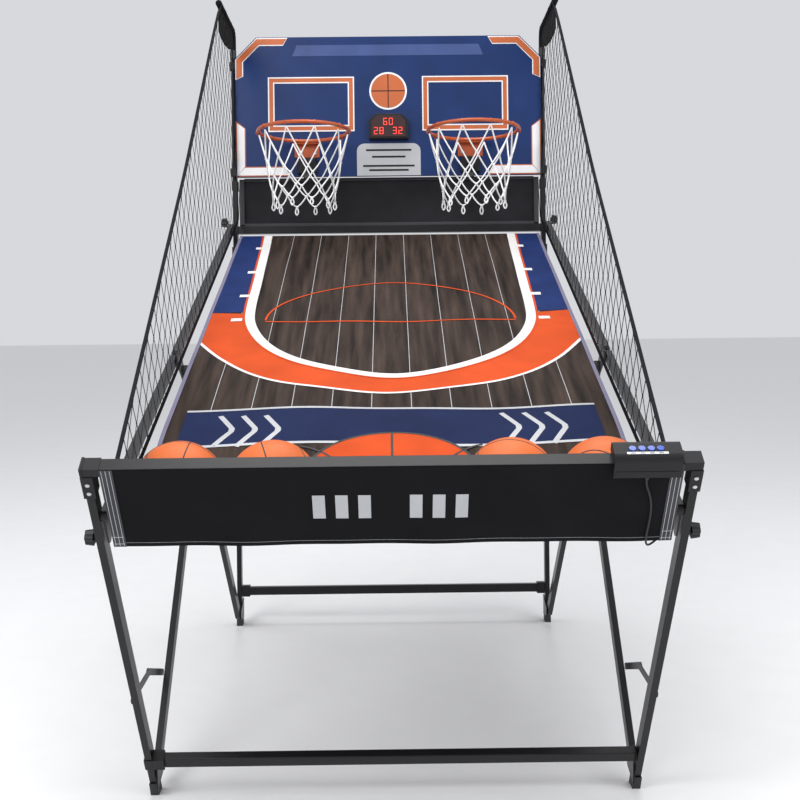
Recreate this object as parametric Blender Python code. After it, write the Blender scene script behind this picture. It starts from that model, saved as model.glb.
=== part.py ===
"""Two-player folding basketball hoop machine: leaning rear frame, backboard with two hoops,
sloping fabric playfield, scissor legs, ball trough and front apron.

World frame: +X to the player's right, -Y towards the player, +Z up, metres.
The origin is at the centre of the bounding box, on the floor.
"""
import math

import bmesh
import bpy
from mathutils import Matrix, Vector

GAP = 0.0003                      # left between faces that touch

# --- driving dimensions ---------------------------------------------------------------------
TUBE_WIDTH = 0.015                # frame tube, across the machine
TUBE_DEPTH = 0.030                # frame tube, seen from the side
OUTER_X = 0.5425                  # legs and front struts
MIDDLE_X = 0.5265                 # side rails
INNER_X = 0.5105                  # uprights and rear struts
HALF_TUBE = TUBE_WIDTH / 2
LEAN = math.radians(6.2)          # uprights lean back
PITCH = math.radians(17.1)        # side rails and playfield
STRUT_ANGLE = math.radians(44.5)  # both struts of the scissor, from the floor
LEG_LEAN = math.radians(32.1)     # front leg, from upright, top towards the player

UPRIGHT_FOOT_Y = 0.8131           # where the uprights' axis meets the floor
UPRIGHT_TOP = 1.465
PIVOT_Z = 0.050                   # height of both foot pivots
REAR_PIVOT_Y = 0.7601
FRONT_PIVOT_Y = -0.4629
LEG_OFFSET = 0.038                # leg axis in front of the strut's foot pivot
SLIM_GAP = 0.040                  # between the two rail pivots on a hinge plate
PIN_R = 0.0040
PIN_HOLE_R = 0.0044

BOARD_HALF_X = 0.505
BOARD_LOW, BOARD_HIGH = 1.480, 1.940
BOARD_CHAMFER = 0.071
BOARD_FRONT_Y = -0.030
BOARD_THICK = 0.012
POLE_R = 0.008
POLE_X = 0.5128
POLE_TOP = 1.965
ARM_REACH = 0.335
ARM_DROP = 0.010

HOOP_X = 0.269
HOOP_Y = -0.198
HOOP_Z = 1.592
HOOP_R = 0.143
HOOP_WIRE = 0.006
NET_DROP = 0.245
NET_LOW_R = 0.100

PLAYFIELD_HALF_X = 0.4945
PLAYFIELD_THICK = 0.004
PLAYFIELD_REAR = (0.9331, 1.2815)
NET_LOW = (-0.760, 0.800)         # where the side net meets the rail, behind the trough
BALL_R = 0.0889
BALL_YZ = (-0.8449, 0.7635)
BALL_X = (-0.405, -0.2265, 0.2265, 0.405)
TROUGH_R = BALL_R + 0.0009

RAIL_Z = 0.9431                   # front rail, along the leg
RAIL_HALF_X = 0.5505
APRON_HALF_X = 0.5182             # hangs between the layers that the side rails swing in
APRON_DROP = 0.190
APRON_THICK = 0.002
FRONT_KNOB_Z = 0.7705
REAR_KNOB_Z = 1.335
KNOB_R, KNOB_LOBE = 0.0150, 0.0016
KNOB_DEPTH, KNOB_TAPER = 0.016, 0.86
KNOB_STANDOFF, KNOB_STEM, KNOB_STEM_R = 0.006, 0.0055, 0.007

SIDES = (("left", -1), ("right", 1))


# --- helpers --------------------------------------------------------------------------------
def clear_scene():
    for obj in list(bpy.data.objects):
        bpy.data.objects.remove(obj, do_unlink=True)


def material(name, colour, roughness=0.5, metallic=0.0):
    mat = bpy.data.materials.get(name)
    if mat is None:
        mat = bpy.data.materials.new(name)
        mat.use_nodes = True
        shader = mat.node_tree.nodes["Principled BSDF"]
        shader.inputs["Base Color"].default_value = (*colour, 1.0)
        shader.inputs["Roughness"].default_value = roughness
        shader.inputs["Metallic"].default_value = metallic
    return mat


def steel():
    return material("black_steel", (0.018, 0.018, 0.020), 0.42, 0.6)


def black_plastic():
    return material("black_plastic", (0.012, 0.012, 0.013), 0.45)


def black_fabric():
    return material("black_fabric", (0.015, 0.015, 0.017), 0.9)


def empty(name, y, z, parent=None, tilt=0.0):
    """A frame for one moving body, with its X axis along the joint."""
    obj = bpy.data.objects.new(name, None)
    bpy.context.collection.objects.link(obj)
    obj.location = (0, y, z)
    obj.rotation_euler = (tilt, 0, 0)
    bpy.context.view_layer.update()
    if parent is not None:
        obj.parent = parent
        obj.matrix_parent_inverse = parent.matrix_world.inverted()
        bpy.context.view_layer.update()
    return obj


def make(name, bm, mat, parent=None, origin=(0, 0, 0), world=False):
    """Link a bmesh as an object whose origin is at a given place in its parent's frame."""
    bmesh.ops.recalc_face_normals(bm, faces=bm.faces)
    bmesh.ops.translate(bm, verts=bm.verts, vec=-Vector(origin))
    mesh = bpy.data.meshes.new(name)
    bm.to_mesh(mesh)
    bm.free()
    mesh.materials.append(mat)
    obj = bpy.data.objects.new(name, mesh)
    bpy.context.collection.objects.link(obj)
    obj.location = origin
    obj.parent = parent
    if parent is not None and world:
        obj.matrix_parent_inverse = parent.matrix_world.inverted()
    mesh.shade_smooth()
    mesh.set_sharp_from_angle(angle=math.radians(35))
    return obj


def prism_bmesh(outline, low, high, axis="X"):
    """Extrude a closed outline. On X it lies in YZ, on Y in XZ, on Z in XY."""
    def point(a, b, c):
        return {"X": (c, a, b), "Y": (a, c, b), "Z": (a, b, c)}[axis]

    bm = bmesh.new()
    bottom = [bm.verts.new(point(a, b, low)) for a, b in outline]
    face = bm.faces.new(bottom)
    extruded = bmesh.ops.extrude_face_region(bm, geom=[face])
    moved = [v for v in extruded["geom"] if isinstance(v, bmesh.types.BMVert)]
    bmesh.ops.translate(bm, verts=moved, vec=Vector(point(0, 0, high - low)))
    return bm


def arc(centre, radius, start, end, steps):
    """Points on an arc, angles in degrees from the outline's first axis."""
    points = []
    for i in range(steps + 1):
        angle = math.radians(start + (end - start) * i / steps)
        points.append((centre[0] + radius * math.cos(angle), centre[1] + radius * math.sin(angle)))
    return points


def bar_outline(start, end, depth, round_start=False, round_end=False):
    """Outline of a flat bar between two points, with square or round ends."""
    a, b = Vector(start), Vector(end)
    along = (b - a).normalized()
    heading = math.degrees(math.atan2(along.y, along.x))
    side = Vector((-along.y, along.x)) * depth / 2
    points = []
    if round_end:
        points += arc(b, depth / 2, heading - 90, heading + 90, 8)
    else:
        points += [tuple(b - side), tuple(b + side)]
    if round_start:
        points += arc(a, depth / 2, heading + 90, heading + 270, 8)
    else:
        points += [tuple(a + side), tuple(a - side)]
    return points


def rect(low_a, high_a, low_b, high_b):
    return [(low_a, low_b), (high_a, low_b), (high_a, high_b), (low_a, high_b)]


def span(x, side, half=HALF_TUBE):
    """Lowest and highest X of a piece centred on one side's layer."""
    return side * x - half, side * x + half


def cylinder_bmesh(centre, radius, length, direction="X", segments=20):
    turn = {"X": Matrix.Rotation(math.pi / 2, 4, "Y"),
            "Z": Matrix.Identity(4)}[direction]
    bm = bmesh.new()
    bmesh.ops.create_cone(bm, cap_ends=True, segments=segments, radius1=radius, radius2=radius,
                          depth=length, matrix=Matrix.Translation(centre) @ turn)
    return bm


def boolean(obj, bm, operation, parent=None, world=False):
    """Cut or join another shape; the helper object is hidden from the build."""
    tool = make("tool_" + obj.name, bm, obj.data.materials[0], parent, world=world)
    tool.hide_render = True
    tool.display_type = "WIRE"
    modifier = obj.modifiers.new(operation.lower(), "BOOLEAN")
    modifier.operation = operation
    modifier.object = tool
    modifier.solver = "EXACT"


def bevel(obj, width, segments=2):
    modifier = obj.modifiers.new("bevel", "BEVEL")
    modifier.width = width
    modifier.segments = segments
    modifier.limit_method = "ANGLE"
    modifier.angle_limit = math.radians(40)


def on_line(start, angle, length):
    return (start[0] + length * math.cos(angle), start[1] + length * math.sin(angle))


# --- frames and pivots ----------------------------------------------------------------------
REAR_PIVOT = (REAR_PIVOT_Y, PIVOT_Z)
FRONT_PIVOT = (FRONT_PIVOT_Y, PIVOT_Z)
SCISSOR_ARM = (REAR_PIVOT_Y - FRONT_PIVOT_Y) / 2 / math.cos(STRUT_ANGLE)
SCISSOR_PIVOT = on_line(FRONT_PIVOT, STRUT_ANGLE, SCISSOR_ARM)
REAR_STRUT_LENGTH = 1.3045
RAIL_HINGE = on_line(REAR_PIVOT, math.pi - STRUT_ANGLE, REAR_STRUT_LENGTH)
RAIL_HINGE_FRONT = on_line(RAIL_HINGE, PITCH + math.pi, SLIM_GAP / 2)
RAIL_HINGE_REAR = on_line(RAIL_HINGE, PITCH, SLIM_GAP / 2)
STAY_LEG_Z = 0.289                # leg end of the stay, along the leg
STAY_STRUT = 0.236                # strut end of the stay, along the strut
STAY_LEG_REACH = 0.182


def leg_to_world(y, z):
    turned = Matrix.Rotation(LEG_LEAN, 3, "X") @ Vector((0, y, z))
    return (FRONT_PIVOT[0] + turned.y, FRONT_PIVOT[1] + turned.z)


def rear_to_world(y, z):
    turned = Matrix.Rotation(-LEAN, 3, "X") @ Vector((0, y, z))
    return (UPRIGHT_FOOT_Y + turned.y, turned.z)


def crossing(start, angle, line_a, line_b):
    """Where a line at an angle meets the line through two points."""
    along = Vector((math.cos(angle), math.sin(angle)))
    other = Vector(line_b) - Vector(line_a)
    offset = Vector(line_a) - Vector(start)
    scale = along.x * other.y - along.y * other.x
    distance = (offset.x * other.y - offset.y * other.x) / scale
    return tuple(Vector(start) + along * distance)


def knee():
    """Where the two links of a stay meet, above the line between their outer pivots."""
    a = Vector(leg_to_world(-LEG_OFFSET, STAY_LEG_Z))
    b = Vector(on_line(FRONT_PIVOT, STRUT_ANGLE, STAY_STRUT))
    half = (b - a) / 2
    rise = math.sqrt(max(STAY_LEG_REACH ** 2 - half.length_squared, 0.0))
    normal = Vector((-half.y, half.x)).normalized()
    return tuple(a), tuple(b), tuple(a + half + normal * rise)


# --- rear frame -----------------------------------------------------------------------------
def uprights(rear):
    for label, side in SIDES:
        low, high = span(INNER_X, side)
        tube = make(f"rear_upright_{label}", prism_bmesh(
            rect(-TUBE_DEPTH / 2, TUBE_DEPTH / 2, 0.020, UPRIGHT_TOP), low, high), steel(), rear)
        foot_low, foot_high = span(INNER_X, side, HALF_TUBE + 0.0015)
        foot_y = rear_to_world(0, 0)[0]
        foot = prism_bmesh([(foot_y - 0.018, 0), (foot_y + 0.020, 0), (foot_y + 0.026, 0.034),
                            (foot_y - 0.0115, 0.034)], foot_low, foot_high)
        boolean(tube, foot, "UNION")
        inner = side * (INNER_X - HALF_TUBE - 0.0015 - GAP)
        plate_low, plate_high = sorted((inner, inner - side * 0.003))
        plate = prism_bmesh([(REAR_PIVOT_Y - 0.014, 0.036), (foot_y + 0.010, 0.022),
                             (foot_y + 0.016, 0.086), (REAR_PIVOT_Y + 0.002, 0.066),
                             (REAR_PIVOT_Y - 0.014, 0.060)], plate_low, plate_high)
        boolean(tube, plate, "UNION")
        web_x = sorted((side * (INNER_X - HALF_TUBE + 0.002), inner - side * 0.001))
        web = prism_bmesh(rect(foot_y, foot_y + 0.012, 0.026, 0.070), *web_x)
        boolean(tube, web, "UNION")
        pin_end = side * (INNER_X + HALF_TUBE - 0.001)
        pin_x = (inner - side * 0.001 + pin_end) / 2
        pin = cylinder_bmesh((pin_x, REAR_PIVOT_Y, PIVOT_Z), PIN_R,
                             abs(pin_end - inner) + 0.001, segments=16)
        boolean(tube, pin, "UNION")


def cross_tubes(rear):
    reach = INNER_X - HALF_TUBE - GAP
    lower = make("rear_bottom_crossbar", prism_bmesh(
        rect(-0.0125, 0.0125, 0.0985, 0.1255), -reach, reach), steel(), rear)
    bevel(lower, 0.002)
    upper = make("playfield_rear_bar", prism_bmesh(
        rect(-0.0125, 0.0125, 1.296, 1.321), -reach, reach), steel(), rear)
    bevel(upper, 0.002)


def poles(rear):
    bend = 0.035
    for label, side in SIDES:
        curve = bpy.data.curves.new(f"backboard_pole_{label}", "CURVE")
        curve.dimensions = "3D"
        curve.bevel_depth = POLE_R
        curve.bevel_resolution = 2
        curve.use_fill_caps = True
        corner = [(-y, z) for y, z in arc((bend, POLE_TOP - bend), bend, 180, 90, 6)]
        route = [(0, UPRIGHT_TOP + GAP), *corner, (-ARM_REACH, POLE_TOP - ARM_DROP)]
        spline = curve.splines.new("POLY")
        spline.points.add(len(route) - 1)
        for point, (y, z) in zip(spline.points, route):
            point.co = (side * POLE_X, y, z, 1)
        curve.materials.append(steel())
        pole = bpy.data.objects.new(f"backboard_pole_{label}", curve)
        bpy.context.collection.objects.link(pole)
        pole.parent = rear


def backboard(rear):
    blue = material("board_blue", (0.035, 0.065, 0.20), 0.25)
    half, cut = BOARD_HALF_X, BOARD_CHAMFER
    outline = [(-half, BOARD_LOW), (half, BOARD_LOW), (half, BOARD_HIGH - cut),
               (half - cut, BOARD_HIGH), (-half + cut, BOARD_HIGH), (-half, BOARD_HIGH - cut)]
    make("backboard", prism_bmesh(outline, BOARD_FRONT_Y, BOARD_FRONT_Y + BOARD_THICK, "Y"),
         blue, rear)
    for label, side in SIDES:
        for level, height in (("lower", 1.500), ("upper", 1.852)):
            clamp = prism_bmesh(rect(BOARD_FRONT_Y + BOARD_THICK + GAP, POLE_R + 0.004,
                                     height - 0.012, height + 0.012),
                                *span(POLE_X - 0.003, side, 0.014))
            block = make(f"backboard_clamp_{level}_{label}", clamp, black_plastic(), rear)
            bore = cylinder_bmesh((side * POLE_X, 0, height), POLE_R + GAP, 0.05, "Z", 24)
            boolean(block, bore, "DIFFERENCE", rear)


def scoreboard(rear):
    back = BOARD_FRONT_Y - GAP
    low, high, half, cut = 1.598, 1.680, 0.065, 0.022
    outline = [(-half, low), (half, low), (half, high - cut), (half - cut, high),
               (-half + cut, high), (-half, high - cut)]
    housing = make("scoreboard_housing", prism_bmesh(outline, back - 0.024, back, "Y"),
                   black_plastic(), rear)
    bevel(housing, 0.002)
    red = material("display_lens", (0.10, 0.01, 0.01), 0.15)
    inset = [(x * 0.86, low + 0.006 + (z - low) * 0.86) for x, z in outline]
    make("scoreboard_lens", prism_bmesh(inset, back - 0.0268, back - 0.024 - GAP, "Y"), red, rear)


def hoops(rear):
    orange = material("hoop_orange", (0.75, 0.16, 0.03), 0.35, 0.2)
    white = material("net_white", (0.85, 0.85, 0.85), 0.9)
    back = BOARD_FRONT_Y - GAP
    for label, side in SIDES:
        x = side * HOOP_X
        bm = bmesh.new()
        ring = []
        for i in range(8):
            angle = math.tau * i / 8
            ring.append(bm.verts.new((x + HOOP_R + HOOP_WIRE * math.cos(angle), HOOP_Y,
                                      HOOP_Z + HOOP_WIRE * math.sin(angle))))
        edges = [bm.edges.new((ring[i], ring[(i + 1) % 8])) for i in range(8)]
        bmesh.ops.spin(bm, geom=edges, cent=(x, HOOP_Y, 0), axis=(0, 0, 1), angle=math.tau,
                       steps=40, use_merge=True)
        bmesh.ops.remove_doubles(bm, verts=bm.verts, dist=0.00001)
        make(f"hoop_rim_{label}", bm, orange, rear)

        shelf = HOOP_Z - HOOP_WIRE - GAP
        plate = make(f"hoop_bracket_{label}", prism_bmesh(
            [(back, 1.542), (back, shelf), (HOOP_Y + HOOP_R - 0.004, shelf),
             (HOOP_Y + HOOP_R - 0.004, shelf - 0.003), (back - 0.003, shelf - 0.003),
             (back - 0.003, 1.542)], x - 0.041, x + 0.041), orange, rear)
        bevel(plate, 0.0008, 1)

        top = shelf - 0.004
        bottom = top - NET_DROP
        profile = [(HOOP_R - 0.009, top), (HOOP_R - 0.022, top - 0.09),
                   (NET_LOW_R + 0.003, top - 0.17), (NET_LOW_R, bottom)]
        walls = profile + [(r - 0.003, z) for r, z in reversed(profile)]
        bm = bmesh.new()
        loop = [bm.verts.new((x + r, HOOP_Y, z)) for r, z in walls]
        edges = [bm.edges.new((loop[i], loop[(i + 1) % len(loop)])) for i in range(len(loop))]
        bmesh.ops.spin(bm, geom=edges, cent=(x, HOOP_Y, 0), axis=(0, 0, 1), angle=math.tau,
                       steps=24, use_merge=True)
        bmesh.ops.remove_doubles(bm, verts=bm.verts, dist=0.00001)
        make(f"hoop_net_{label}", bm, white, rear)

        box = make(f"score_sensor_{label}", prism_bmesh(
            rect(back - 0.020, back, 1.487, 1.539), x - 0.031, x + 0.031), black_plastic(), rear)
        bevel(box, 0.002)


def score_levers(rear):
    """A paddle that hangs in front of each sensor and swings forward as a ball passes."""
    pivot = (BOARD_FRONT_Y - 0.0245, 1.530)
    shape = [(-0.0022, 0.004), (0.0022, 0.004), (0.0022, -0.050), (-0.012, -0.066),
             (-0.015, -0.062), (-0.0022, -0.046)]
    for label, side in SIDES:
        x = side * HOOP_X
        outline = [(pivot[0] + y, pivot[1] + z) for y, z in shape]
        make(f"score_lever_{label}", prism_bmesh(outline, x - 0.010, x + 0.010), black_plastic(),
             rear, origin=(x, *pivot))


def soft_rear(rear):
    make("backdrop_fabric", prism_bmesh(rect(-0.497, 0.497, 1.3225, 1.4775), -0.0015, 0.0015, "Y"),
         material("charcoal_fabric", (0.03, 0.03, 0.033), 0.95), rear)


def hand_knob(name, inner, y, z, side, parent):
    """A five-lobed hand knob on a short stem, turned about X."""
    outline = []
    for i in range(30):
        angle = math.tau * i / 30
        radius = KNOB_R + KNOB_LOBE * math.cos(5 * angle)
        outline.append((y + radius * math.cos(angle), z + radius * math.sin(angle)))
    outer = side * (inner + KNOB_DEPTH)
    bm = prism_bmesh(outline, *sorted((side * inner, outer)))
    for vert in [v for v in bm.verts if abs(v.co.x - outer) < 1e-6]:
        vert.co.y = y + (vert.co.y - y) * KNOB_TAPER
        vert.co.z = z + (vert.co.z - z) * KNOB_TAPER
    knob = make(name, bm, black_plastic(), parent, origin=(side * inner, y, z))
    stem_end, root = side * (inner - KNOB_STEM), side * (inner + 0.003)
    stem = cylinder_bmesh(((stem_end + root) / 2, y, z), KNOB_STEM_R, abs(root - stem_end))
    boolean(knob, stem, "UNION", parent)


def rear_knobs(rear):
    for label, side in SIDES:
        inner = MIDDLE_X + HALF_TUBE + KNOB_STANDOFF
        hand_knob(f"rear_knob_{label}", inner, 0, REAR_KNOB_Z, side, rear)


# --- fabric between the frames --------------------------------------------------------------
def playfield_top():
    """The playfield's upper line from the rear bar to the ball trough, seen from the side."""
    rear_y, rear_z = PLAYFIELD_REAR
    slope_end = -0.4934
    line = [(rear_y, rear_z), (slope_end, rear_z - (rear_y - slope_end) * math.tan(PITCH))]
    trough = arc(BALL_YZ, TROUGH_R, -60, -158, 12)
    start, end = Vector(line[-1]), Vector(trough[0])
    pull = (start - end).length * 0.45
    start_dir = Vector((-math.cos(PITCH), -math.sin(PITCH)))
    end_dir = Vector((math.cos(math.radians(30)), math.sin(math.radians(30))))
    a, b = start + start_dir * pull, end + end_dir * pull
    curve = []
    for i in range(1, 6):
        t = i / 6
        point = (start * (1 - t) ** 3 + a * 3 * t * (1 - t) ** 2
                 + b * 3 * t ** 2 * (1 - t) + end * t ** 3)
        curve.append(tuple(point))
    return line + curve + trough + [leg_to_world(-0.0195, RAIL_Z - 0.030)]


def thicken(line, thickness):
    """Close a line into a band by offsetting it to its left-hand side."""
    offset = []
    for i, point in enumerate(line):
        before = Vector(line[max(i - 1, 0)])
        after = Vector(line[min(i + 1, len(line) - 1)])
        along = (after - before).normalized()
        offset.append((point[0] - along.y * thickness, point[1] + along.x * thickness))
    return line + offset[::-1]


def playfield():
    printed = material("playfield_print", (0.09, 0.07, 0.06), 0.7)
    make("playfield", prism_bmesh(thicken(playfield_top(), PLAYFIELD_THICK),
                                  -PLAYFIELD_HALF_X, PLAYFIELD_HALF_X), printed)


def side_nets():
    net = material("net_black", (0.02, 0.02, 0.02), 0.9)
    outline = [leg_to_world(-0.010, RAIL_Z - 0.020), NET_LOW, rear_to_world(-0.040, 1.335),
               rear_to_world(-0.040, POLE_TOP - 0.020),
               rear_to_world(-ARM_REACH + 0.004, POLE_TOP - ARM_DROP - 0.012)]
    for label, side in SIDES:
        make(f"side_net_{label}", prism_bmesh(outline, *span(0.4985, side, 0.0012)), net)


# --- struts and rails -----------------------------------------------------------------------
def rear_struts(frame):
    for label, side in SIDES:
        low, high = span(INNER_X, side)
        top = on_line(REAR_PIVOT, math.pi - STRUT_ANGLE, REAR_STRUT_LENGTH - 0.050)
        strut = make(f"rear_strut_{label}", prism_bmesh(
            bar_outline(REAR_PIVOT, top, TUBE_DEPTH, round_start=True), low, high),
            steel(), frame, origin=(side * INNER_X, *REAR_PIVOT), world=True)
        hole = cylinder_bmesh((side * INNER_X, *REAR_PIVOT), PIN_HOLE_R, 0.03, segments=16)
        boolean(strut, hole, "DIFFERENCE")
        plate_outer = side * (INNER_X + HALF_TUBE)
        plate_x = sorted((plate_outer, plate_outer - side * 0.004))
        front, back = Vector(RAIL_HINGE_FRONT), Vector(RAIL_HINGE_REAR)
        tail = Vector(on_line(REAR_PIVOT, math.pi - STRUT_ANGLE, REAR_STRUT_LENGTH - 0.100))
        heading = math.degrees(PITCH)
        outline = (arc(front, 0.014, heading + 90, heading + 225, 6) + [(tail.x - 0.012, tail.y)]
                   + [(tail.x + 0.012, tail.y + 0.012)] + arc(back, 0.014, heading - 60,
                                                              heading + 90, 6))
        boolean(strut, prism_bmesh(outline, *plate_x), "UNION")
        for centre in (front, back):
            pin_end = side * (MIDDLE_X + HALF_TUBE - 0.001)
            pin_start = plate_outer - side * 0.001
            pin = cylinder_bmesh(((pin_start + pin_end) / 2, *centre), PIN_R,
                                 abs(pin_end - pin_start), segments=16)
            boolean(strut, pin, "UNION")
        start = side * (INNER_X + HALF_TUBE - 0.001)
        bush_end = side * (OUTER_X - HALF_TUBE - GAP)
        bush = cylinder_bmesh(((start + bush_end) / 2, *SCISSOR_PIVOT), 0.010,
                              abs(bush_end - start), segments=20)
        boolean(strut, bush, "UNION")
        pin_end = side * (OUTER_X + HALF_TUBE - 0.001)
        pin = cylinder_bmesh(((start + pin_end) / 2, *SCISSOR_PIVOT), PIN_R,
                             abs(pin_end - start), segments=16)
        boolean(strut, pin, "UNION")


def front_struts(frame):
    for label, side in SIDES:
        strut = make(f"front_strut_{label}", prism_bmesh(
            bar_outline(FRONT_PIVOT, SCISSOR_PIVOT, TUBE_DEPTH, True, True),
            *span(OUTER_X, side)), steel(), frame,
            origin=(side * OUTER_X, *SCISSOR_PIVOT), world=True)
        for centre in (FRONT_PIVOT, SCISSOR_PIVOT):
            hole = cylinder_bmesh((side * OUTER_X, *centre), PIN_HOLE_R, 0.03, segments=16)
            boolean(strut, hole, "DIFFERENCE")


def side_rails(front_frame, rear_frame):
    for label, side in SIDES:
        low, high = span(MIDDLE_X, side)
        end = crossing(RAIL_HINGE_FRONT, math.pi + PITCH, leg_to_world(-LEG_OFFSET, 0),
                       leg_to_world(-LEG_OFFSET, 1))
        rail = make(f"side_rail_front_{label}", prism_bmesh(
            bar_outline(RAIL_HINGE_FRONT, end, TUBE_DEPTH * 0.8, True, True), low, high),
            steel(), front_frame, origin=(side * MIDDLE_X, *RAIL_HINGE_FRONT), world=True)
        knob_at = Vector(leg_to_world(-LEG_OFFSET, FRONT_KNOB_Z))
        plate = bar_outline(end, knob_at, 0.022, True, True)
        boolean(rail, prism_bmesh(plate, *sorted((side * MIDDLE_X, side * (MIDDLE_X + 0.004)))),
                "UNION")
        hole = cylinder_bmesh((side * MIDDLE_X, *RAIL_HINGE_FRONT), PIN_HOLE_R, 0.03, segments=16)
        boolean(rail, hole, "DIFFERENCE")

        end = crossing(RAIL_HINGE_REAR, PITCH, rear_to_world(0, 0), rear_to_world(0, 1))
        rail = make(f"side_rail_rear_{label}", prism_bmesh(
            bar_outline(RAIL_HINGE_REAR, end, TUBE_DEPTH * 0.8, True, True), low, high),
            steel(), rear_frame, origin=(side * MIDDLE_X, *RAIL_HINGE_REAR), world=True)
        hole = cylinder_bmesh((side * MIDDLE_X, *RAIL_HINGE_REAR), PIN_HOLE_R, 0.03, segments=16)
        boolean(rail, hole, "DIFFERENCE")


# --- front frame ----------------------------------------------------------------------------
def front_legs(leg):
    top = RAIL_Z - HALF_TUBE - GAP
    for label, side in SIDES:
        low, high = span(OUTER_X, side)
        tube = make(f"front_leg_{label}", prism_bmesh(
            rect(-LEG_OFFSET - TUBE_DEPTH / 2, -LEG_OFFSET + TUBE_DEPTH / 2, -0.010, top),
            low, high), steel(), leg)
        foot_y = leg_to_world(-LEG_OFFSET, -0.035)[0]
        foot = prism_bmesh([(foot_y - 0.026, 0), (foot_y + 0.012, 0), (foot_y - 0.006, 0.034),
                            (foot_y - 0.041, 0.034)], *span(OUTER_X, side, HALF_TUBE + 0.0012))
        boolean(tube, foot, "UNION")
        inner = side * (OUTER_X - HALF_TUBE - 0.0012 - GAP)
        plate_x = sorted((inner, inner - side * 0.003))
        y, z = FRONT_PIVOT
        plate = prism_bmesh([(y - 0.060, 0.022), (y + 0.008, 0.038), (y + 0.012, 0.050),
                             (y + 0.006, 0.062), (y - 0.062, 0.086)], *plate_x)
        boolean(tube, plate, "UNION")
        web_x = sorted((side * (OUTER_X - HALF_TUBE + 0.002), inner - side * 0.001))
        web = prism_bmesh(rect(y - 0.054, y - 0.042, 0.032, 0.066), *web_x)
        boolean(tube, web, "UNION")
        pin_end = side * (OUTER_X + HALF_TUBE - 0.001)
        pin = cylinder_bmesh(((inner - side * 0.001 + pin_end) / 2, y, z), PIN_R,
                             abs(pin_end - inner) + 0.001, segments=16)
        boolean(tube, pin, "UNION")

        inner_knob = OUTER_X + HALF_TUBE + KNOB_STANDOFF
        hand_knob(f"front_knob_{label}", inner_knob, -LEG_OFFSET, FRONT_KNOB_Z, side, leg)


def front_cross_parts(leg):
    reach = OUTER_X - HALF_TUBE - GAP
    bottom = make("front_bottom_crossbar", prism_bmesh(
        rect(-LEG_OFFSET - 0.010, -LEG_OFFSET + 0.010, 0.064, 0.094), -reach, reach), steel(), leg)
    bevel(bottom, 0.002)
    rail = make("front_rail", prism_bmesh(
        rect(-LEG_OFFSET - 0.015, -LEG_OFFSET + 0.015, RAIL_Z - HALF_TUBE, RAIL_Z + HALF_TUBE),
        -RAIL_HALF_X, RAIL_HALF_X), steel(), leg)
    bevel(rail, 0.0015)
    face = -LEG_OFFSET - 0.015 - GAP
    make("front_apron", prism_bmesh(
        rect(face - APRON_THICK, face, RAIL_Z + HALF_TUBE - APRON_DROP, RAIL_Z + HALF_TUBE),
        -APRON_HALF_X, APRON_HALF_X), black_fabric(), leg)


CONTROL_LOW_X, CONTROL_HIGH_X = 0.391, 0.512
CONTROL_BASE = RAIL_Z + HALF_TUBE + GAP
CONTROL_TOP = CONTROL_BASE + 0.022
CONTROL_LIP = 0.926
CONTROL_FRONT_Y = -0.0640
CONTROL_LIP_Y = -0.0585
BUTTON_X = tuple(0.4243 + 0.0165 * i for i in range(4))
BUTTON_Y = -0.039
BUTTON_R = 0.0065
BUTTON_WELL = 0.004


def control_box(leg):
    outline = [(CONTROL_LIP_Y, CONTROL_LIP), (CONTROL_LIP_Y, CONTROL_BASE),
               (-0.014, CONTROL_BASE)]
    outline += arc((-0.024, CONTROL_TOP - 0.010), 0.010, 0, 90, 5)
    outline += arc((CONTROL_FRONT_Y + 0.012, CONTROL_TOP - 0.012), 0.012, 90, 180, 5)
    outline += [(CONTROL_FRONT_Y, CONTROL_LIP)]
    box = make("control_box", prism_bmesh(outline, CONTROL_LOW_X, CONTROL_HIGH_X),
               black_plastic(), leg)
    blue = material("button_blue", (0.03, 0.06, 0.30), 0.3)
    for number, x in enumerate(BUTTON_X, start=1):
        well = cylinder_bmesh((x, BUTTON_Y, CONTROL_TOP), BUTTON_R + 0.0004, 2 * BUTTON_WELL,
                              "Z", 20)
        boolean(box, well, "DIFFERENCE", leg)
        low = CONTROL_TOP - BUTTON_WELL + 0.0018
        high = CONTROL_TOP + 0.0022
        bm = cylinder_bmesh((x, BUTTON_Y, (low + high) / 2), BUTTON_R, high - low, "Z", 20)
        button = make(f"control_button_{number}", bm, blue, leg, origin=(x, BUTTON_Y, CONTROL_TOP))
        bevel(button, 0.0006, 2)


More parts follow.
